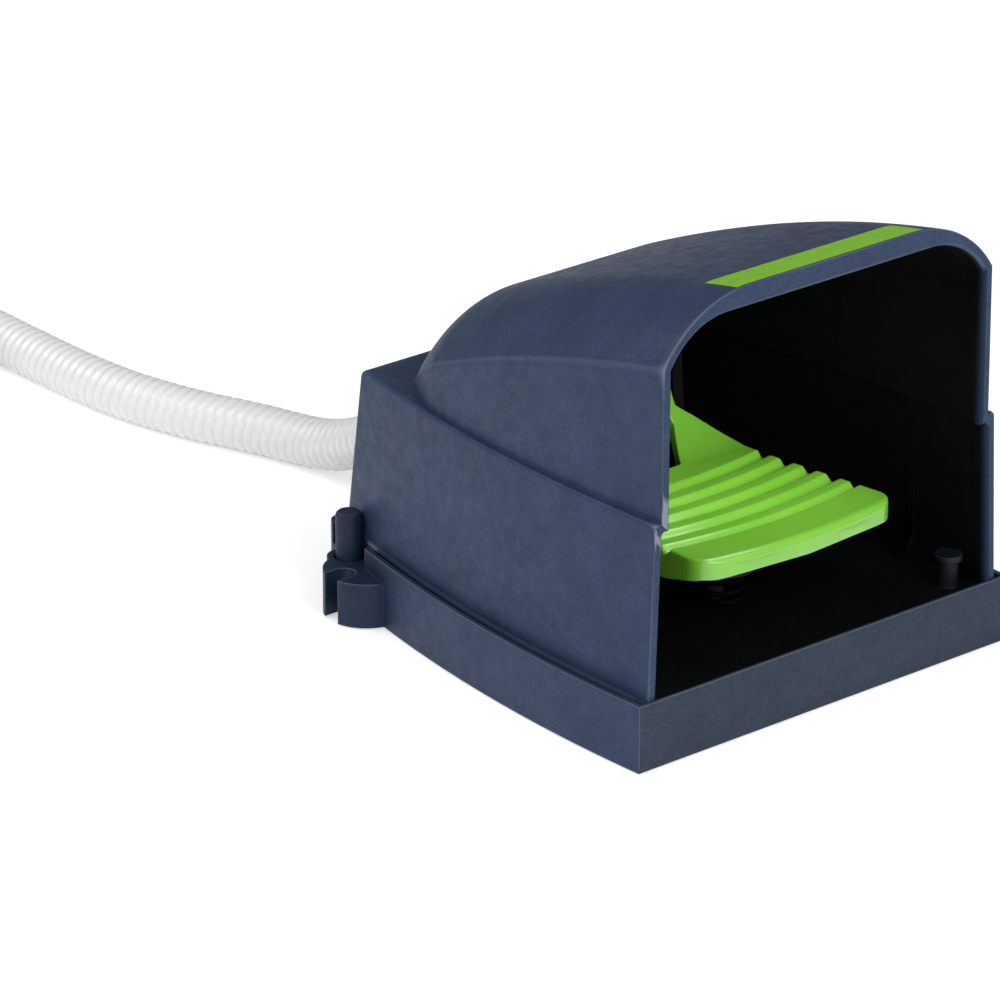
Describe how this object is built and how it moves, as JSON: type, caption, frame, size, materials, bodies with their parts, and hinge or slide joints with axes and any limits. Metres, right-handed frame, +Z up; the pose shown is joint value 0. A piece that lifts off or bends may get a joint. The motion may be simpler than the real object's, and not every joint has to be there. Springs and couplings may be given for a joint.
{
  "type": "vacuum foot valve",
  "caption": "Hooded foot pedal valve: a ribbed pedal swings on a hinge inside a moulded hood and presses a spring-loaded spool that vents a vacuum hose.",
  "frame": {"origin": "centre of the base's outline on the plane that the rubber feet stand on", "axes": "+Z up, +Y towards the rear where the hose leaves, +X to the right as the foot enters from the front"},
  "size_m": [0.2998, 0.5685, 0.1428],
  "materials": {
    "navy_plastic": "fine moulded grain",
    "green_plastic": "satin",
    "black_plastic": "matte",
    "black_metal": "black coating",
    "steel": "zinc plated",
    "brass": "turned",
    "rubber": "matte",
    "strap": "woven",
    "hose_plastic": "milky, ribbed"
  },
  "bodies": {
    "base": {"base_shell": "navy_plastic", "bottom_plate": "black_plastic", "bottom_screws": "steel", "rubber_feet": "rubber", "hood": "navy_plastic", "hood_screws": "steel", "hinge_frame": "black_metal", "frame_screws": "steel", "hinge_pin": "steel", "pin_clips": "steel", "return_spring": "steel", "down_stop": "rubber", "up_stops": "rubber", "valve_body": "black_metal", "valve_bonnet": "brass", "stem_seal": "rubber", "valve_spring": "steel", "valve_screws": "steel", "vent_filter": "brass", "hose_connector": "brass", "hose_nut": "brass", "hose_grommet": "rubber", "hose_lead": "hose_plastic", "hose_coil": "hose_plastic", "hose_ties": "strap", "hose_coupling": "brass"},
    "pedal": {"pedal": "green_plastic", "pedal_bushes": "brass", "press_pad": "steel", "spring_cup": "black_plastic"},
    "plunger": {"spool": "steel", "spool_seal": "rubber"}
  },
  "joints": [
    {"name": "pedal_hinge", "type": "hinge", "parent": "base", "child": "pedal", "pos_m": [0, 0.027, 0.084], "axis": [1, 0, 0], "range_deg": [0, 6.5], "stiffness_Nm_per_rad": 10, "springref_deg": -2.86, "deforming": ["return_spring"]},
    {"name": "spool_slide", "type": "slide", "parent": "base", "child": "plunger", "axis": [0, 0, -1], "range_m": [0, 0.00435], "stiffness_N_per_m": 60, "springref_m": -0.004, "deforming": ["valve_spring"]}
  ],
  "couplings": [
    {"joint": "spool_slide", "follows": "pedal_hinge", "m_per_rad": 0.038}
  ]
}
